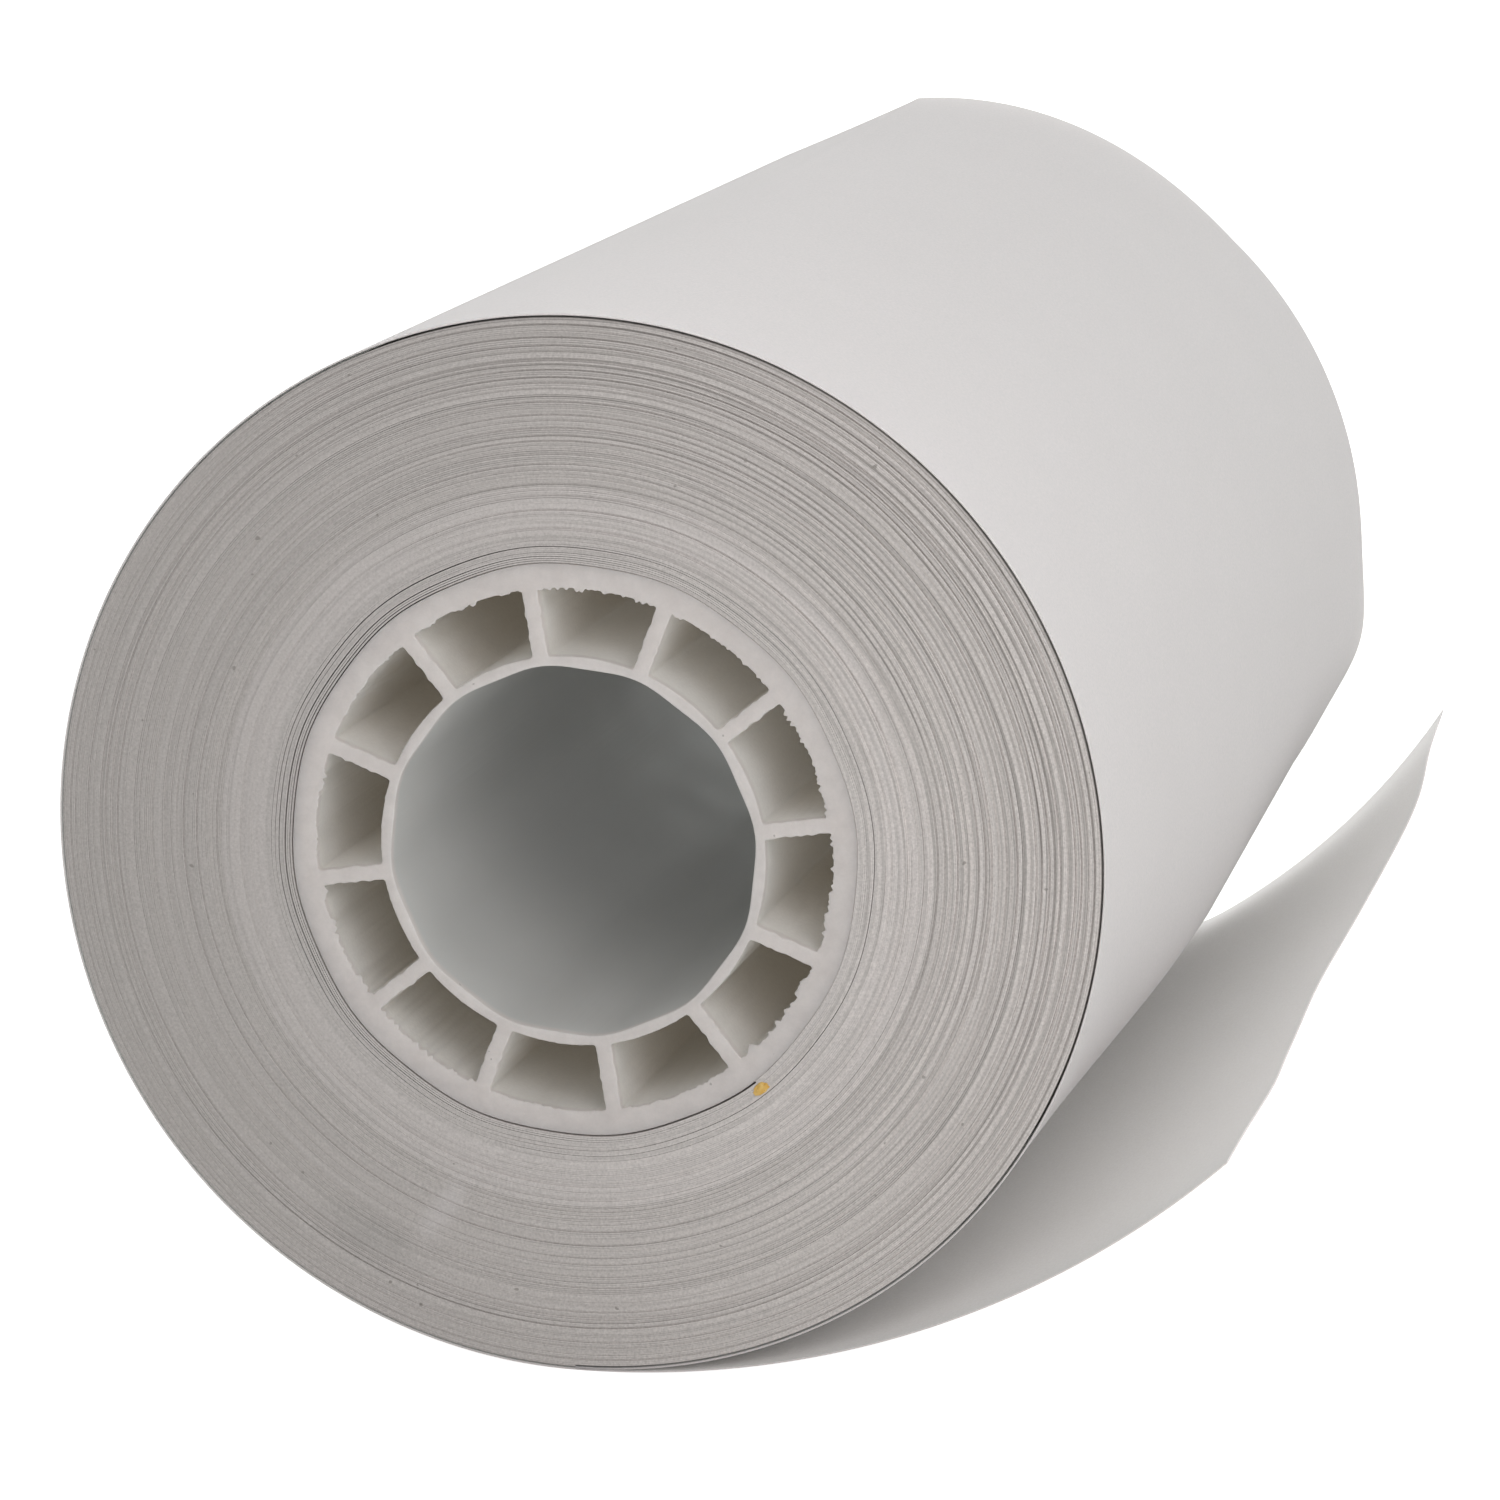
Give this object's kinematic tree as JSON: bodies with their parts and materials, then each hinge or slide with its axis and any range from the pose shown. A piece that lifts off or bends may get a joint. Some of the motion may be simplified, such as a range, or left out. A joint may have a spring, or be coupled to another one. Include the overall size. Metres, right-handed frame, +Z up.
{
  "type": "paper roll",
  "caption": "Small roll of thin white paper wound on a ribbed plastic core, lying on its side with its loose end curling up.",
  "frame": {"origin": "on the floor under the middle of the whole outline, halfway along the roll", "axes": "+Y along the roll's axis from its front end to its rear end, +X towards the loose tail, +Z up"},
  "size_m": [0.0366, 0.0572, 0.0329],
  "materials": {
    "core_plastic": "sawn extruded plastic, off-white",
    "yellow_glue": "dried glue, slightly glossy",
    "wound_paper": "cut edges of many tight turns, matt",
    "paper": "smooth coated paper, matt"
  },
  "bodies": {
    "roll": {"core": "core_plastic", "core_glue": "yellow_glue", "first_turns": "wound_paper", "inner_coil": "wound_paper", "main_coil": "wound_paper"},
    "last_wrap": {"last_wrap": "paper"},
    "tail": {"tail": "paper"}
  },
  "joints": [
    {"name": "unwind", "type": "hinge", "parent": "roll", "child": "last_wrap", "pos_m": [-0.00188, 0, 0.01647], "axis": [0, 1, 0], "continuous": true},
    {"name": "tail_bend", "type": "hinge", "parent": "last_wrap", "child": "tail", "pos_m": [0.00708, 0, 0.00138], "axis": [0, 1, 0], "range_deg": [-12, 25], "stiffness_Nm_per_rad": 0.0005}
  ]
}
